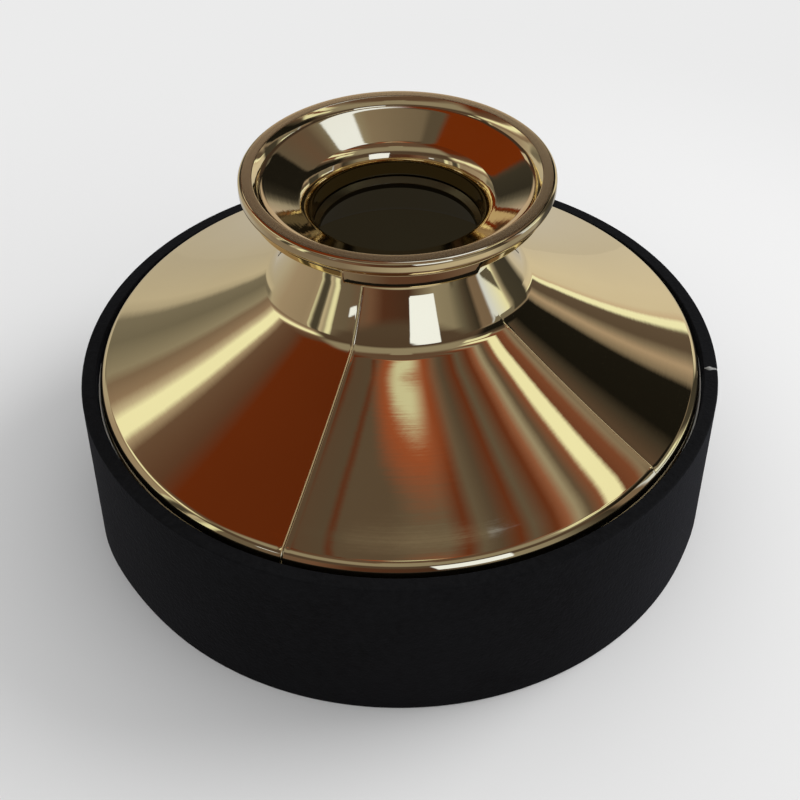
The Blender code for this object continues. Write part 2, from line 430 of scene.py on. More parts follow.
def bump(tree, height, distance, before=None):
    """Normal output of a Bump node of a height in metres."""
    inputs = {"Height": height, "Distance": distance, "Strength": 1.0}
    if before is not None:
        inputs["Normal"] = before
    return node(tree, "ShaderNodeBump", inputs).outputs["Normal"]


def object_place(tree):
    """Place on the mute, in metres."""
    return node(tree, "ShaderNodeTexCoord").outputs["Object"]


def split(tree, vector):
    """The three parts of a vector."""
    return tuple(node(tree, "ShaderNodeSeparateXYZ", {"Vector": vector}).outputs)


def emptied_tree(owner):
    """The node tree of a new material or world, with no nodes in it."""
    owner.use_nodes = True
    owner.node_tree.nodes.clear()
    return owner.node_tree


# Materials

# Plating: noise by the metre, and how deep its bumps are
RING_TURN = 1.6                    # how fast the noise of the rings changes round the axis
TONE_SCALE = 45.0
WEAR_SCALE = 160.0
WEAR_ROUGHER = 2.5                 # worn spots are this many times as rough
WAVE_SCALE = 70.0
PEEL_SCALE = 520.0
PEEL_DEPTH = 0.0012 * MM
SPECK_SCALE = 230.0
SPECK_SIZE = 0.055                 # radius of a speck as a share of its cell of noise
SPECK_RARITY = 0.985               # share of the cells that hold none
SPECK_HEIGHT = 0.03 * MM

# Satin plating
SATIN_PITCH = 0.12 * MM
SATIN_TURN = 3.0
SATIN_DEPTH = 0.004 * MM
SATIN_DARKER = 0.86                # share of the colour that is left in the darker streaks
SATIN_SPREAD = (0.8, 1.25)         # least and greatest share of the roughness

# Foam, whose cells and grain have a scale and a depth
FOAM_CELLS = (1900.0, 0.05 * MM)
FOAM_GRAIN = (900.0, 0.12 * MM)
FOAM_PATCHES = 60.0
FOAM_DARK = (0.0040, 0.0040, 0.0042, 1.0)
FOAM_PALE = (0.0080, 0.0080, 0.0086, 1.0)
FOAM_WORN = (0.0085, 0.0088, 0.0098, 1.0)
FOAM_ROUGHNESS = (0.62, 0.9)
FOAM_SHEEN = (0.75, 0.82, 1.0, 1.0)


def new_material(name):
    """A material, its node tree and its shader."""
    mat = bpy.data.materials.new(name)
    mat.use_nodes = True
    return mat, mat.node_tree, mat.node_tree.nodes["Principled BSDF"]


def ring_coordinates(tree, place, ring_pitch, turn_scale):
    """Coordinates in which a noise becomes fine rings round the mute's axis."""
    x, y, z = split(tree, place)
    flat = node(tree, "ShaderNodeVectorMath", {0: place, 1: (1.0, 1.0, 0.0)}, operation="MULTIPLY")
    return node(tree, "ShaderNodeCombineXYZ", {
        "X": maths(tree, "DIVIDE", length(tree, flat.outputs[0]), ring_pitch),
        "Y": maths(tree, "DIVIDE", z, ring_pitch),
        "Z": maths(tree, "MULTIPLY", maths(tree, "ARCTAN2", y, x), turn_scale)}).outputs[0]


def specks(tree, place):
    """Height of the few round specks of dust."""
    dots = node(tree, "ShaderNodeTexVoronoi", {"Vector": place, "Scale": SPECK_SCALE})
    shade = node(tree, "ShaderNodeSeparateColor", {"Color": dots.outputs["Color"]}).outputs[0]
    dome = ramp(tree, dots.outputs["Distance"], (0.0, 1.0), (SPECK_SIZE, 0.0))
    return maths(tree, "MULTIPLY", maths(tree, "GREATER_THAN", shade, SPECK_RARITY), dome)


def plated(name, colour, worn_colour, roughness, ring_pitch, ring_depth, wave_depth):
    """Gold mirror plating over moulded or turned plastic: rings, long waves, specks and faint wear."""
    mat, tree, shader = new_material(name)
    place = object_place(tree)
    rings = ring_coordinates(tree, place, ring_pitch, RING_TURN)
    shader.inputs["Metallic"].default_value = 1.0
    tone = ramp(tree, noise(tree, place, TONE_SCALE, detail=3.0), (0.35, 0.0), (0.7, 1.0))
    join(tree, mixed_colour(tree, tone, colour, worn_colour), shader.inputs["Base Color"])
    worn = noise(tree, place, WEAR_SCALE, detail=6.0, roughness=0.65)
    spread = mapped(tree, ramp(tree, worn, (0.42, 0.0), (0.75, 1.0)), 0.0, 1.0,
                    roughness, roughness * WEAR_ROUGHER)
    join(tree, spread, shader.inputs["Roughness"])

    # Long waves, orange peel, rings and specks, one upon the other
    waves = bump(tree, noise(tree, place, WAVE_SCALE, detail=1.0), wave_depth)
    peel = bump(tree, noise(tree, place, PEEL_SCALE), PEEL_DEPTH, waves)
    turned = bump(tree, noise(tree, rings, 1.0, roughness=0.6), ring_depth, peel)
    join(tree, bump(tree, specks(tree, place), SPECK_HEIGHT, turned), shader.inputs["Normal"])
    return mat


def satin_plated(name, colour, roughness):
    """The same plating over a finely faced surface, which spreads what it reflects."""
    mat, tree, shader = new_material(name)
    rings = ring_coordinates(tree, object_place(tree), SATIN_PITCH, SATIN_TURN)
    shader.inputs["Metallic"].default_value = 1.0
    streak = noise(tree, rings, 1.0, detail=3.0, roughness=0.7)
    darker = tuple(SATIN_DARKER * share for share in colour[:3]) + (1.0,)
    join(tree, mixed_colour(tree, streak, colour, darker), shader.inputs["Base Color"])
    spread = mapped(tree, streak, 0.0, 1.0, *[roughness * share for share in SATIN_SPREAD])
    join(tree, spread, shader.inputs["Roughness"])
    join(tree, bump(tree, streak, SATIN_DEPTH), shader.inputs["Normal"])
    return mat


def foam_material():
    """Black closed-cell foam with a fine pebbled skin."""
    mat, tree, shader = new_material("foam_black")
    place = object_place(tree)
    cell_scale, cell_depth = FOAM_CELLS
    grain_scale, grain_depth = FOAM_GRAIN
    cells = node(tree, "ShaderNodeTexVoronoi", {"Vector": place, "Scale": cell_scale})
    grain = noise(tree, place, grain_scale, detail=4.0, roughness=0.65)
    patches = ramp(tree, noise(tree, place, FOAM_PATCHES, detail=3.0), (0.3, 0.0), (0.8, 0.6))
    skin = mixed_colour(tree, ramp(tree, grain, (0.3, 0.0), (0.75, 1.0)), FOAM_DARK, FOAM_PALE)
    join(tree, mixed_colour(tree, patches, skin, FOAM_WORN), shader.inputs["Base Color"])
    join(tree, mapped(tree, grain, 0.0, 1.0, *FOAM_ROUGHNESS), shader.inputs["Roughness"])
    shader.inputs["Specular IOR Level"].default_value = 0.05
    shader.inputs["Sheen Weight"].default_value = 0.035
    shader.inputs["Sheen Roughness"].default_value = 0.4
    shader.inputs["Sheen Tint"].default_value = FOAM_SHEEN
    pebble = bump(tree, cells.outputs["Distance"], cell_depth)
    join(tree, bump(tree, grain, grain_depth, pebble), shader.inputs["Normal"])
    return mat


def mottled(name, scale, first, second, roughness, depth):
    """Two tones in fine spots, with a bump to match."""
    mat, tree, shader = new_material(name)
    tone = noise(tree, object_place(tree), scale, detail=3.0)
    join(tree, mixed_colour(tree, tone, first, second), shader.inputs["Base Color"])
    shader.inputs["Roughness"].default_value = roughness
    join(tree, bump(tree, tone, depth), shader.inputs["Normal"])
    return mat


def tape_material():
    """White double-sided tape, seen only as a thin edge from below."""
    return mottled("tape_white", scale=300.0, first=(0.80, 0.78, 0.71, 1.0),
                   second=(0.66, 0.63, 0.55, 1.0), roughness=0.6, depth=0.02 * MM)


def glue_material():
    """Grey glue that has come up between the ends of the foam."""
    return mottled("glue_grey", scale=900.0, first=(0.17, 0.17, 0.16, 1.0),
                   second=(0.36, 0.36, 0.34, 1.0), roughness=0.3, depth=0.05 * MM)


# Pieces

def shell_outline(base):
    """The shell's outline, for a collar whose underside is at a given height."""
    shoulder = (shoulder_radius, shoulder_height)
    waist = (waist_radius, waist_height)
    rim = (skirt_radius, rim_height)
    cone_inside = inward(rim, CONE_SLOPE, SHELL_WALL)
    neck_inside = inward(shoulder, NECK_SLOPE, SHELL_WALL)
    shoulder_inside = meet(cone_inside, math.pi - CONE_SLOPE, neck_inside, math.pi - NECK_SLOPE)
    skirt_corner = meet(cone_inside, math.pi - CONE_SLOPE, (skirt_inner, 0.0), math.pi / 2)
    seat_offset = FUNNEL_WALL + CLEARANCE
    seat_arc = arc((THROAT_RADIUS + THROAT_ROUND, throat_height), THROAT_ROUND - seat_offset,
                   math.pi, math.pi / 2 + FUNNEL_SLOPE, SMALL_STEPS)
    dish_line = (step_radius + seat_offset * math.sin(FUNNEL_SLOPE),
                 step_height - seat_offset * math.cos(FUNNEL_SLOPE))
    seat_edge = meet(dish_line, FUNNEL_SLOPE, (0.0, collar_top), 0.0)
    return rounded([
        (collar_radius, collar_top, COLLAR_ROUND, SMALL_STEPS),
        (collar_radius - COLLAR_LEAN, base, COLLAR_ROUND, SMALL_STEPS),
        (waist_radius + FLARE_RUN, base, FLARE_FILLET, BIG_STEPS),
        (*waist, WAIST_ROUND, BIG_STEPS),
        *plain(bowed(waist, shoulder, NECK_SAG, NECK_STEPS)[NECK_PART]),
        (*shoulder, NECK_FILLET, BIG_STEPS),
        *plain(bowed(shoulder, rim, CONE_SAG, CONE_STEPS)[CONE_PART]),
        (*rim, RIM_ROUND, BIG_STEPS),
        (skirt_radius, skirt_lift, SKIRT_EDGE_ROUND, EDGE_STEPS),
        (skirt_inner, skirt_lift, SKIRT_EDGE_ROUND, EDGE_STEPS),
        (*skirt_corner, SHELL_WALL / 2, SMALL_STEPS),
        *plain(bowed(skirt_corner, shoulder_inside, CONE_SAG, CONE_STEPS)[CONE_INSIDE_PART]),
        (*shoulder_inside, NECK_FILLET + SHELL_WALL, BIG_STEPS),
        (bore_radius + LEDGE_STEP, ledge_top - LEDGE_THICKNESS, CORNER_ROUND, EDGE_STEPS),
        (bore_radius, ledge_top - LEDGE_THICKNESS, CORNER_ROUND, EDGE_STEPS),
        (bore_radius, ledge_top - LEDGE_BEVEL, CORNER_ROUND, EDGE_STEPS),
        *plain([(THROAT_RADIUS, ledge_top), (seat_radius, ledge_top), *seat_arc, seat_edge]),
    ])


def shell_columns(rows):
    """Azimuth of each column at each row, and each column's parting line and distance from it."""
    radii = np.maximum(rows[:, 0], THROAT_RADIUS)
    columns = []
    for index, line in enumerate(PARTING_LINES):
        following = (index + 1) % len(PARTING_LINES)
        next_line = PARTING_LINES[following]
        start = line.azimuth
        end = next_line.azimuth + (0.0 if following else 360.0)
        near = np.degrees(line.half_width * FLASH_COLUMNS[:, None] / radii)
        far = np.degrees(next_line.half_width * FLASH_COLUMNS[:0:-1, None] / radii)
        first = start + near[-1]
        last = end - far[0]
        count = int(COLUMNS_PER_DEGREE * (end - start))
        for turn, share in zip(near, FLASH_COLUMNS):
            columns.append((start + turn, line.half_width * share, index))
        for k in range(1, count):
            columns.append((first + (last - first) * (k / count), BETWEEN_LINES, index))
        for turn, share in zip(far, FLASH_COLUMNS[:0:-1]):
            columns.append((end - turn, next_line.half_width * share, following))
    azimuths, offsets, owners = zip(*columns)
    return np.array(azimuths).T, np.array(offsets), np.array(owners)


def horn_shell(plated_mat, bore_shade_mat):
    """Rim, cone, neck and collar with their parting lines, and the skirt behind the foam."""
    thin = shell_outline(collar_base)
    thick = shell_outline(collar_base - COLLAR_DROP)
    counts = run_counts(thin, RUN_SPACING)
    thin_rows = divided(thin, counts)
    thick_rows = divided(thick, counts)
    azimuths, offsets, owners = shell_columns(thin_rows)

    # Thicker collar from the left line to the step
    left = LEFT_LINE.azimuth
    in_front = (smooth_step(left - COLLAR_START_BLEND, left + COLLAR_START_BLEND, azimuths)
                * smooth_step(COLLAR_STEP_AZIMUTH + COLLAR_STEP_BLEND,
                              COLLAR_STEP_AZIMUTH - COLLAR_STEP_BLEND, azimuths))
    in_front += smooth_step(left + 360.0 - COLLAR_START_BLEND, left + 360.0, azimuths)
    radius = thin_rows[:, :1] + (thick_rows - thin_rows)[:, :1] * in_front
    height = thin_rows[:, 1:] + (thick_rows - thin_rows)[:, 1:] * in_front

    # Flash and the proud front sector, on the outside only
    below_foam = int(np.argmax(thin_rows[:, 1] < foam_height - RIM_ROUND))
    outside = (np.arange(len(thin_rows)) < below_foam).astype(float)[:, None]
    flash = np.zeros_like(azimuths)
    for index, line in enumerate(PARTING_LINES):
        flash += flash_height(line, offsets[None, :], radius, height) * (owners == index)[None, :]
    sector_end = smooth_step(skirt_radius - SECTOR_END[0], skirt_radius - SECTOR_END[1], radius)
    sector = (((azimuths > left) & (azimuths < RIGHT_LINE.azimuth))
              * (1 - smooth_step(*LINE_FADE, height)) * (1 - sector_end))
    lift = (flash + SECTOR_PROUD * sector) * outside
    normals = outline_normals(thin_rows)
    radius = radius + normals[:, :1] * lift
    height = height + normals[:, 1:] * lift

    # The bore that the throat opens into gets a dark gold, a painted shade for the shade that falls deep
    # inside it
    middles = side_middles(thin_rows)
    bore_shade = ((middles[:, 0] < THROAT_RADIUS + LEDGE_STEP)
            & (middles[:, 1] < ledge_top + CLEARANCE)).astype(np.int32)

    turn = np.radians(azimuths)
    obj = grid_object("shell_plated", radius * np.cos(turn), radius * np.sin(turn), height, True,
                      [plated_mat, bore_shade_mat], bore_shade)
    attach(obj, "root")
    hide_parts("horn_shell")


def mouth_funnel(polished, satin):
    """Flat satin lip, bevel, groove, dish with turned rings, and the short throat."""
    bulge = (THROAT_RADIUS + THROAT_ROUND, throat_height)
    flat = math.pi / 2 + FUNNEL_SLOPE
    dish_outside = (step_radius + FUNNEL_WALL * math.sin(FUNNEL_SLOPE),
                    step_height - FUNNEL_WALL * math.cos(FUNNEL_SLOPE))
    under_lip = meet(dish_outside, FUNNEL_SLOPE, (0.0, lip_base), 0.0)
    groove_in = (step_radius - GROOVE_WIDTH, step_height - GROOVE_WIDTH * math.tan(FUNNEL_SLOPE))
    groove_foot = (step_radius, step_height - GROOVE_DEPTH)
    groove_out = (step_radius + GROOVE_WIDTH / 2, step_height + GROOVE_WIDTH / 2)
    outline = rounded([
        (lip_radius, lip_top, LIP_ROUND, SMALL_STEPS),
        (lip_radius, lip_base, LIP_ROUND, SMALL_STEPS),
        *plain([under_lip]),
        *plain(arc(bulge, THROAT_ROUND - FUNNEL_WALL, flat, math.pi, SMALL_STEPS)),
        (spigot_radius, throat_base, CORNER_ROUND, EDGE_STEPS),
        (THROAT_RADIUS, throat_base, CORNER_ROUND, EDGE_STEPS),
        *plain(arc(bulge, THROAT_ROUND, math.pi, flat, BIG_STEPS)),
        *plain([groove_in, groove_foot, groove_out]),
        (lip_inner, lip_top, CORNER_ROUND, EDGE_STEPS),
    ])
    rows = divided(outline, run_counts(outline, FUNNEL_SPACING))
    middles = side_middles(rows)
    on_lip = (middles[:, 1] > lip_top - SAME_HEIGHT) & (middles[:, 0] > lip_inner)
    turn = np.radians(np.arange(0, 360, 1 / COLUMNS_PER_DEGREE))[None, :]
    obj = grid_object("funnel_plated", rows[:, :1] * np.cos(turn), rows[:, :1] * np.sin(turn),
                      rows[:, 1:] + 0 * turn, True, [polished, satin], on_lip.astype(np.int32))
    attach(obj, "root")
    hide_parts("mouth_funnel")


def strip_outline(inner, outer, base, top, edge_round):
    """Outline of a strip's cross-section."""
    corners = ((outer, top), (outer, base), (inner, base), (inner, top))
    outline = rounded([(*corner, edge_round, SMALL_STEPS) for corner in corners])
    return divided(outline, run_counts(outline, RUN_SPACING))


def strip_ring(name, rows, mat, pinch=0.0, unevenness=0.0, bulges=()):
    """A strip wound once round the skirt, with its two ends a gap apart."""
    middle = rows.mean(axis=0)[0]
    half_gap = math.degrees(SPLICE_GAP / 2 / middle)
    start = SPLICE_AZIMUTH + half_gap
    end = SPLICE_AZIMUTH + 360 - half_gap
    count = int(360 * COLUMNS_PER_DEGREE)
    near = SPLICE_COLUMNS * (end - start) / count
    columns = np.concatenate((start + near, np.linspace(start, end, count + 1)[1:-1], end - near[::-1]))
    turn = np.radians(columns)[None, :]

    # The cut ends are a little pinched
    distance = np.minimum(columns - start, end - columns) * math.radians(1) * middle
    drawn_in = pinch * np.clip(1 - distance / PINCH_REACH, 0, 1) ** 2
    radius = rows[:, :1] + (middle - rows[:, :1]) * drawn_in[None, :]
    height = rows[:, 1:] + 0 * turn

    # Slow unevenness of the outer face
    outer = (rows[:, :1] > middle).astype(float)
    waves = sum(np.sin(k * turn + phase + rows[:, 1:] * WAVE_TWIST) / k for k, phase in FOAM_WAVES)
    radius = radius - unevenness * (1 + WAVE_SHARE * waves) * outer

    # Bulges, which stay inside the band's box
    rise = np.clip(rows[:, 1:] / rows[:, 1].max(), 0, 1)
    for azimuth, spread, at_top, at_bottom in bulges:
        off = np.degrees(wrapped(turn - math.radians(azimuth))) / spread
        radius = radius + np.exp(-off ** 2) * (at_bottom + (at_top - at_bottom) * rise) * outer
    reach = foam_radius / np.maximum(abs(np.cos(turn)), abs(np.sin(turn)))
    radius = np.minimum(radius, reach)
    return grid_object(name, radius * np.cos(turn), radius * np.sin(turn), height, False, [mat])


def foam_band(mat):
    """Foam strip with soft edges and a slightly uneven outer face."""
    foam_inner = foam_radius - FOAM_THICKNESS
    rows = strip_outline(foam_inner, foam_radius, foam_low.z, foam_height, FOAM_EDGE_ROUND)
    obj = strip_ring("foam_strip", rows, mat, SPLICE_PINCH, FOAM_UNEVENNESS, FOAM_BULGES)
    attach(obj, "root")
    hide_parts("foam_band")


def foam_tape(mat):
    """Tape between the foam and the skirt."""
    rows = strip_outline(tape_inner, tape_outer, tape_low.z, tape_high.z, 0.0)
    obj = strip_ring("tape_strip", rows, mat)
    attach(obj, "root")
    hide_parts("foam_tape")


def splice_glue(mat):
    """The thread of glue that has come up between the ends of the foam, on its top face."""
    around = np.linspace(0, 2 * math.pi, GLUE_SIDES, endpoint=False)[:, None]
    along = np.linspace(0.0, 1.0, GLUE_STEPS)[None, :]
    lump, lump_turn, lump_start = GLUE_LUMPS
    lumps = 1 - lump + lump * np.sin(lump_turn * along + lump_start)
    size = np.sqrt(np.sin(math.pi * np.clip(along, GLUE_TIP, 1 - GLUE_TIP))) * lumps
    radius = foam_radius - GLUE_INSET - (FOAM_THICKNESS - GLUE_SHORTER) * (1 - along) + 0 * around
    across = GLUE_WIDTH / 2 * size * np.cos(around)
    height = foam_height - GLUE_SUNK + GLUE_RISE * size * np.sin(around)
    turn = math.radians(SPLICE_AZIMUTH)
    cos, sin = math.cos(turn), math.sin(turn)
    obj = grid_object("splice_glue", radius * cos - across * sin, radius * sin + across * cos, height,
                      False, [mat], sharp=GLUE_SHARP_EDGE)
    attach(obj, "root")


# Studio

PAPER = 0.8308                     # the photograph's pale grey
FLOOR_COLOUR = 0.80
FLOOR_RADIUS = 4.0
FLOOR_SIDES = 128
FLOOR_FADE = (0.08, 0.20)          # from lit paper to the backdrop's even grey
SKY_LEFT, SKY_RIGHT = 0.60, 0.95   # soft light from the two sides of the room
SKY_SPAN = (-0.8, 0.8)             # and the x of a direction between which it changes
LAMP = (20.0, 34.0, 0.9, 0.6, 4.5) # azimuth, elevation, distance, width and power in watts
CARD_DISTANCE = 2.5
CARDS_SEEN_FROM = (0.0, 0.0, 45.0 * MM)  # the point that the cards' directions are given from
BROWN_LEAN = (0.60, -0.42, -0.62)  # what a warmth of 1 adds to red, green and blue
STREAK = (0.87, 1.0, 0.95)         # tint of a light that shows pale yellow in the gold
WHITE = (0.80, 1.0, 1.60)          # and of one that shows white

# What stands round the mute, as the cone shows it: (elevation, brightness, warmth or tint)
RIGHT_SIDE = (
    (0.0, 0.64, 0.0), (8.0, 0.71, 0.0), (12.0, 0.70, 0.0), (13.4, 0.60, 0.1), (14.0, 1.12, STREAK),
    (15.2, 1.12, STREAK), (16.0, 0.11, 0.2), (19.5, 0.10, 0.2), (21.0, 0.22, 0.1), (23.0, 0.42, 0.15),
    (25.6, 0.22, 0.1), (27.0, 0.012, 0.0), (37.0, 0.010, 0.0), (39.6, 0.05, 0.1), (43.2, 0.09, 0.3),
    (45.2, 0.26, 0.1), (47.0, 0.14, 0.9), (49.6, 0.11, 0.9), (50.6, 1.12, STREAK),
    (53.4, 1.12, STREAK), (54.6, 0.16, 0.9), (57.2, 0.11, 0.2), (59.2, 0.36, 0.0), (61.2, 0.20, 0.8),
    (63.4, 0.08, 1.2), (67.0, 0.12, 0.1), (69.2, 0.08, 1.2), (72.6, 0.09, 0.2), (75.0, 0.13, 0.1),
    (77.2, 0.08, 1.2), (80.0, 0.13, 0.1), (90.0, 0.11, 0.2),
)
LEFT_SIDE = (
    (0.0, 0.50, 0.0), (8.5, 0.56, 0.0), (10.5, 0.48, 0.0), (12.2, 0.21, 0.0), (16.5, 0.18, 0.0),
    (22.5, 0.30, 0.0), (24.6, 0.20, 0.2), (28.0, 0.27, 0.2), (30.4, 0.60, 0.0), (32.0, 1.12, STREAK),
    (35.2, 1.12, STREAK), (36.6, 0.40, 0.1), (39.0, 0.12, 0.4), (46.0, 0.085, 0.6),
    (50.5, 0.075, 1.4), (69.8, 0.065, 1.4), (71.6, 0.09, 0.3), (75.4, 0.09, 0.2), (76.4, 0.07, 1.1),
    (77.4, 0.10, 0.2), (90.0, 0.10, 0.2),
)
SIDES_MEET = (-0.06, 0.06)         # x of a direction between which left turns into right
CONE_ARC = (0.906, -0.455, -0.64)  # y of the arc of sky that the cone shows, as 1, z and z squared

# The same farther behind, as the dish shows it
DISH_RIGHT = (
    (0.0, 0.45, 0.0), (9.0, 0.36, 0.0), (12.0, 0.12, 0.0), (15.0, 0.03, 0.0), (22.0, 0.012, 0.0),
    (37.0, 0.012, 0.0), (39.0, 0.12, 0.1), (50.0, 0.12, 0.3), (55.0, 0.12, 0.2), (58.0, 0.17, 0.1),
    (61.0, 0.22, 0.0), (61.6, 1.2, WHITE), (73.6, 1.2, WHITE), (74.6, 0.30, 0.0), (79.0, 0.24, 0.1),
    (90.0, 0.20, 0.1),
)
DISH_LEFT = (
    (0.0, 0.35, 0.0), (9.0, 0.22, 0.0), (12.0, 0.10, 0.0), (16.0, 0.035, 0.0), (28.0, 0.045, 0.0),
    (30.5, 0.06, 0.3), (33.0, 0.09, 1.5), (70.0, 0.09, 1.5), (72.5, 0.10, 0.1), (77.0, 0.10, 0.1),
    (79.5, 0.17, 0.1), (90.0, 0.20, 0.1),
)
DISH_OFFSET = (0.058, 0.085)       # how far behind the cone's arc of sky the dish's begins

# In front, by elevation, and low down on all sides but behind, by azimuth
FRONT = (
    (0.0, 0.10, 0.2), (15.0, 0.09, 0.2), (36.0, 0.07, 0.3), (42.0, 0.30, 0.0), (54.0, 0.30, 0.0),
    (60.0, 0.10, 0.4), (75.0, 0.11, 0.3), (90.0, 0.11, 0.2),
)
FRONT_MEETS = (-0.32, -0.12)       # y of a direction between which front turns into back
LOW = (
    (-180.0, 0.31, 0.1), (-174.0, 0.33, 0.1), (-172.5, 0.90, STREAK), (-171.0, 0.30, 0.0),
    (-169.5, 0.07, 0.0), (-163.5, 0.07, 0.0), (-161.5, 0.60, 0.0), (-158.0, 0.34, 0.0),
    (-155.5, 1.0, STREAK), (-152.5, 1.0, STREAK), (-150.5, 0.15, 0.1), (-140.0, 0.14, 0.1),
    (-128.0, 0.13, 0.3), (-118.0, 0.13, 0.5), (-105.0, 0.06, 0.8), (-80.0, 0.05, 0.6),
    (-55.0, 0.30, 0.0), (-40.0, 0.27, 0.0), (-32.0, 0.15, 0.0), (-25.0, 0.08, 0.1),
    (-18.0, 0.04, 0.1), (-14.0, 0.19, 0.2), (-5.0, 0.18, 0.2), (-2.5, 0.90, WHITE),
    (14.0, 1.05, STREAK), (17.0, 0.40, 0.0), (22.0, 0.06, 0.0), (38.0, 0.05, 0.0), (45.0, 0.62, 0.0),
    (140.0, 0.47, 0.0), (155.0, 0.36, 0.1), (180.0, 0.31, 0.1),
)
LOW_TOP = (22.0, 26.0)             # elevations over which that ends
LOW_BACK = (0.60, 0.68)            # and shares of straight behind
LEAST_SQUARE = 0.001               # keeps that share from a division by zero straight above

# The floor in the metal, a painted reflection that glows for glossy rays: painted shade close in and
# under the mute, then three rings by azimuth, each taking over between two radii
FLOOR_SHADE_INSIDE = 0.023
FLOOR_CLOSE = (
    (-180.0, 0.24, 0.1), (-140.0, 0.24, 0.1), (-115.0, 0.14, 0.2), (-95.0, 0.08, 0.6),
    (-70.0, 0.08, 0.6), (-40.0, 0.14, 0.3), (0.0, 0.14, 0.2), (40.0, 0.08, 0.0), (140.0, 0.10, 0.0),
    (180.0, 0.24, 0.1),
)
FLOOR_MIDDLE = (
    (-180.0, 0.24, 0.1), (-150.0, 0.21, 0.1), (-125.0, 0.22, 0.1), (-95.0, 0.40, 0.0),
    (-65.0, 0.55, 0.0), (-30.0, 0.58, 0.0), (-15.0, 0.30, 0.0), (15.0, 0.38, 0.0), (24.0, 0.08, 0.0),
    (42.0, 0.06, 0.0), (52.0, 0.54, 0.0), (125.0, 0.52, 0.0), (155.0, 0.42, 0.0), (180.0, 0.24, 0.1),
)
FLOOR_RINGS = ((0.056, 0.059, FLOOR_CLOSE), (0.103, 0.108, FLOOR_MIDDLE), (0.145, 0.170, LOW))


def direction(azimuth, elevation):
    """Unit vector of a direction."""
    a, e = math.radians(azimuth), math.radians(elevation)
    return Vector((math.cos(a) * math.cos(e), math.sin(a) * math.cos(e), math.sin(e)))


def pointed(towards, axis="Z"):
    """Rotation that points an object's own axis in a direction."""
    return towards.to_track_quat(axis, "Y").to_matrix().to_4x4()


def warm(brightness, warmth):
    """A light of a named tint, or a grey that leans to brown by its warmth."""
    tint = warmth if isinstance(warmth, tuple) else [1 + lean * warmth for lean in BROWN_LEAN]
    return tuple(brightness * share for share in tint)


def card_material(name, strength, tint, feather):
    """Light of a card: bright in the middle and fading out over its edges."""
    mat = bpy.data.materials.new(name)
    tree = emptied_tree(mat)
    place = split(tree, node(tree, "ShaderNodeTexCoord").outputs["Generated"])
    sides = []
    for along, soft in zip(place, feather):
        off_middle = maths(tree, "ABSOLUTE", maths(tree, "SUBTRACT", along, 0.5))
        sides.append(mapped(tree, off_middle, 0.5 - soft, 0.5, 1.0, 0.0, "SMOOTHSTEP"))
    glow = light(tree, "ShaderNodeEmission", (*tint, 1.0), strength)
    clear = node(tree, "ShaderNodeBsdfTransparent").outputs[0]
    shown = mixed_shader(tree, maths(tree, "MULTIPLY", *sides), clear, glow)
    node(tree, "ShaderNodeOutputMaterial", {"Surface": shown})
    return mat


def card(name, azimuth, elevation, wide, high, strength, warmth=0.0, feather=(0.1, 0.1),
         distance=CARD_DISTANCE):
    """A card that only the plating shows, placed and sized by how it is seen from a point on the mute."""
    towards = direction(azimuth, elevation)
    size = [2 * distance * math.tan(math.radians(extent) / 2) for extent in (wide, high)]
    bpy.ops.mesh.primitive_plane_add(size=1.0)
    plane = bpy.context.object
    plane.name = name
    plane.data.transform(Matrix.Diagonal((*size, 1.0, 1.0)))
    place = Vector(CARDS_SEEN_FROM) + towards * distance
    plane.matrix_world = Matrix.Translation(place) @ pointed(-towards)
    plane.data.materials.append(card_material(name, strength, warm(1.0, warmth), feather))
    plane.visible_camera = False
    plane.visible_diffuse = False
    plane.visible_shadow = False


def studio_cards():
    """Pale and dark cards, each named for where or how it shows."""
    # In front and at the sides
    card("window", -67, 19, 25, 27, 1.25, WHITE, feather=(0.04, 0.04))
    card("high_strip", -88, 57, 15, 8, 0.3, feather=(0.15, 0.15))
    card("left_blob", -134, 18.6, 8, 3.0, 1.2, WHITE, feather=(0.2, 0.2), distance=2.3)
    card("right_glint", -12, 46, 24, 6, 1.0, STREAK, feather=(0.15, 0.2))
    card("right_dim", 9, 20, 24, 12, 0.2, distance=2.4)
    card("right_dark", 7, 0.5, 17, 6.5, 0.12, feather=(0.15, 0.2), distance=2.4)

    # Almost overhead, as the cone shows it below the neck
    card("front_glow", -83, 79.4, 17, 2.4, 0.75, STREAK, feather=(0.4, 0.45))
    card("front_blush", -83, 79.6, 30, 5.5, 0.20, 1.2, feather=(0.35, 0.35), distance=2.7)

    # Behind, as the flat lip shows it
    card("lip_pale", 90, 17, 34, 28, 0.52, 0.12, feather=(0.2, 0.08))
    card("lip_dark", 90, 45, 44, 28, 0.045, 0.3, feather=(0.15, 0.15))

    # The same way, as the foot of the dish shows it
    card("foot_right", 115, 36, 11, 7, 0.6, feather=(0.15, 0.2), distance=2.3)
    card("foot_left", 63, 35, 8, 6, 0.12, feather=(0.2, 0.2), distance=2.3)


def by_elevation(tree, height, stops):
    """Colour by elevation, from stops above the horizon; the height is a share of a right angle."""
    return ramp(tree, height, *[(angle / 90, warm(brightness, warmth))
                                for angle, brightness, warmth in stops])


def by_azimuth(tree, turn, stops):
    """Colour by azimuth, from stops either side of +X; the turn is a share of a full one."""
    return ramp(tree, turn, *[(angle / 360 + 0.5, warm(brightness, warmth))
                              for angle, brightness, warmth in stops])


def azimuth_share(tree, x, y):
    """Azimuth of a direction as a share of a full turn, which begins at -X."""
    return maths(tree, "MULTIPLY_ADD", maths(tree, "ARCTAN2", y, x), 0.5 / math.pi, 0.5)


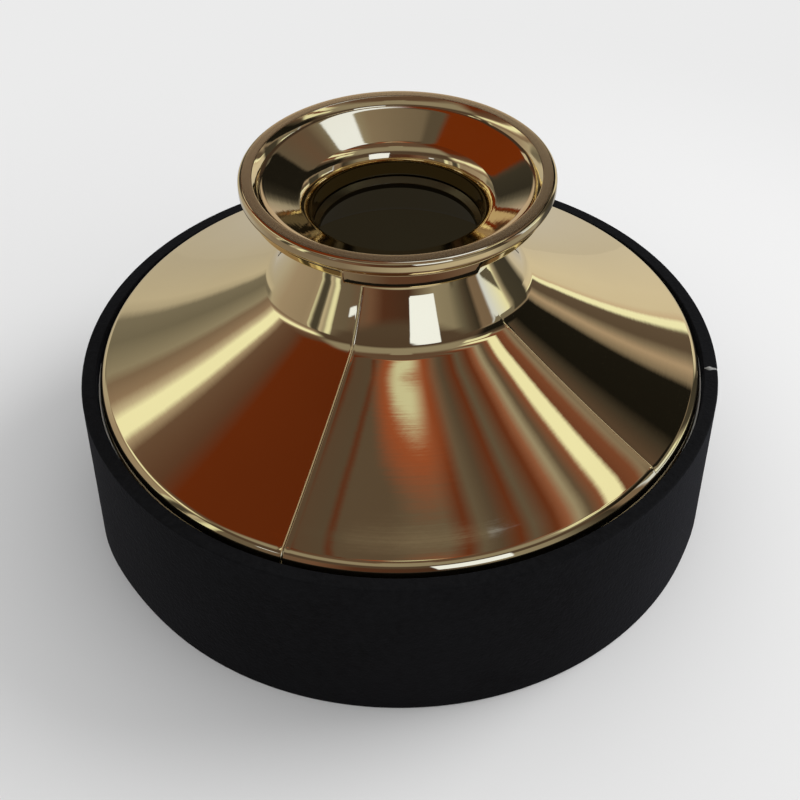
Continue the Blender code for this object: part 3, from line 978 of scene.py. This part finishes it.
def room_in_metal(tree, x, y, z):
    """Colour of the room in a direction, as the plating shows it."""
    height = maths(tree, "DIVIDE", maths(tree, "ARCSINE", z), math.pi / 2)

    def across(value, low, high):
        """Soft share of the way between two values."""
        return mapped(tree, value, low, high, kind="SMOOTHSTEP")

    right_hand = across(x, *SIDES_MEET)

    def two_sides(left, right):
        """Colour by elevation on the left and on the right."""
        return mixed_colour(tree, right_hand, by_elevation(tree, height, left),
                            by_elevation(tree, height, right))

    # The cone shows only a narrow arc of the sky, and the dish one farther behind
    arc_start, arc_slope, arc_bend = CONE_ARC
    slope_there = maths(tree, "MULTIPLY_ADD", z, arc_bend, arc_slope)
    arc_line = maths(tree, "MULTIPLY_ADD", slope_there, z, arc_start)
    offset = maths(tree, "SUBTRACT", y, arc_line)
    behind = mixed_colour(tree, across(offset, *DISH_OFFSET), two_sides(LEFT_SIDE, RIGHT_SIDE),
                          two_sides(DISH_LEFT, DISH_RIGHT))
    high = mixed_colour(tree, across(y, *FRONT_MEETS), by_elevation(tree, height, FRONT), behind)

    # Low down on all sides but behind
    level_square = maths(tree, "SUBTRACT", 1.0, maths(tree, "MULTIPLY", z, z))
    level = maths(tree, "SQRT", maths(tree, "MAXIMUM", level_square, LEAST_SQUARE))
    to_back = maths(tree, "DIVIDE", y, level)
    is_high = across(height, *[angle / 90 for angle in LOW_TOP])
    is_low = maths(tree, "MULTIPLY", maths(tree, "SUBTRACT", 1.0, is_high),
                   maths(tree, "SUBTRACT", 1.0, across(to_back, *LOW_BACK)))
    return mixed_colour(tree, is_low, high, by_azimuth(tree, azimuth_share(tree, x, y), LOW))


def room():
    """The world: pale for the camera, soft for the paper and foam, and a room in the plating."""
    world = bpy.data.worlds.new("room")
    bpy.context.scene.world = world
    tree = emptied_tree(world)
    x, y, z = split(tree, node(tree, "ShaderNodeTexCoord").outputs["Generated"])
    path = node(tree, "ShaderNodeLightPath")
    sides = mapped(tree, x, *SKY_SPAN, SKY_LEFT, SKY_RIGHT)
    soft = light(tree, "ShaderNodeBackground", grey(1.0), sides)
    shown = light(tree, "ShaderNodeBackground", room_in_metal(tree, x, y, z))
    pale = light(tree, "ShaderNodeBackground", grey(PAPER))
    unseen = mixed_shader(tree, path.outputs["Is Glossy Ray"], soft, shown)
    whole = mixed_shader(tree, path.outputs["Is Camera Ray"], unseen, pale)
    node(tree, "ShaderNodeOutputWorld", {"Surface": whole})


def floor():
    """Plain pale floor, which fades into the backdrop's grey away from the mute."""
    bpy.ops.mesh.primitive_circle_add(vertices=FLOOR_SIDES, radius=FLOOR_RADIUS, fill_type="NGON")
    plane = bpy.context.object
    plane.name = "floor"
    mat = bpy.data.materials.new("floor_paper")
    tree = emptied_tree(mat)
    place = object_place(tree)
    away = length(tree, place)
    paper = node(tree, "ShaderNodeBsdfDiffuse", {"Color": grey(FLOOR_COLOUR)}).outputs[0]
    even = light(tree, "ShaderNodeEmission", grey(1.0), PAPER)
    seen = mixed_shader(tree, mapped(tree, away, *FLOOR_FADE, kind="SMOOTHSTEP"), paper, even)

    # In the metal the floor glows with a painted reflection, with painted shade close in, instead of
    # showing its lit paper
    x, y, _ = split(tree, place)
    turn = azimuth_share(tree, x, y)
    colour = grey(FLOOR_SHADE_INSIDE)
    for low, high, stops in FLOOR_RINGS:
        colour = mixed_colour(tree, mapped(tree, away, low, high), colour, by_azimuth(tree, turn, stops))
    in_metal = node(tree, "ShaderNodeLightPath").outputs["Is Glossy Ray"]
    either = mixed_shader(tree, in_metal, seen, light(tree, "ShaderNodeEmission", colour))
    node(tree, "ShaderNodeOutputMaterial", {"Surface": either})
    plane.data.materials.append(mat)


def lamp():
    """One large soft lamp at the right, which the plating doesn't show."""
    azimuth, elevation, distance, width, power = LAMP
    data = bpy.data.lights.new("soft_lamp", "AREA")
    data.shape = "DISK"
    data.size = width
    data.energy = power
    obj = new_object("soft_lamp", data)
    towards = direction(azimuth, elevation)
    obj.matrix_world = Matrix.Translation(towards * distance) @ pointed(towards)
    obj.visible_glossy = False
    obj.visible_camera = False


def camera():
    """The photograph's camera."""
    data = bpy.data.cameras.new("camera")
    data.sensor_width = SENSOR
    data.lens = FOCAL_PIXELS * SENSOR / PHOTO_SIZE
    data.shift_x = -(OPTICAL_CENTRE[0] - PHOTO_SIZE / 2) / PHOTO_SIZE
    data.shift_y = (OPTICAL_CENTRE[1] - PHOTO_SIZE / 2) / PHOTO_SIZE
    data.clip_start = CAMERA_CLIP
    obj = new_object("camera", data)
    back = direction(CAMERA_AZIMUTH, CAMERA_ELEVATION)
    place = Vector((0.0, 0.0, foam_height)) + back * CAMERA_DISTANCE
    roll = Matrix.Rotation(math.radians(CAMERA_ROLL), 4, "Z")
    obj.matrix_world = Matrix.Translation(place) @ pointed(-back, "-Z") @ roll
    bpy.context.scene.camera = obj


def main():
    """Builds the pieces and the studio."""
    gold = plated(
        "gold_shell", colour=(0.87, 0.69, 0.37, 1.0), worn_colour=(0.84, 0.66, 0.35, 1.0),
        roughness=0.016, ring_pitch=1.0 * MM, ring_depth=0.0012 * MM, wave_depth=0.012 * MM)
    gold_turned = plated(
        "gold_funnel", colour=(0.86, 0.68, 0.37, 1.0), worn_colour=(0.82, 0.64, 0.34, 1.0),
        roughness=0.03, ring_pitch=0.55 * MM, ring_depth=0.006 * MM, wave_depth=0.006 * MM)
    satin = satin_plated("gold_satin", colour=(0.80, 0.63, 0.35, 1.0), roughness=0.24)
    # Painted shade: a dark gold for the bore deep inside the shell, whose plating is the same gold
    bore_shade = satin_plated("gold_bore_shade", colour=(0.12, 0.095, 0.05, 1.0), roughness=0.30)
    horn_shell(gold, bore_shade)
    mouth_funnel(gold_turned, satin)
    foam_band(foam_material())
    foam_tape(tape_material())
    splice_glue(glue_material())
    room()
    floor()
    lamp()
    studio_cards()
    camera()
    bpy.context.scene.view_settings.view_transform = "Standard"


main()
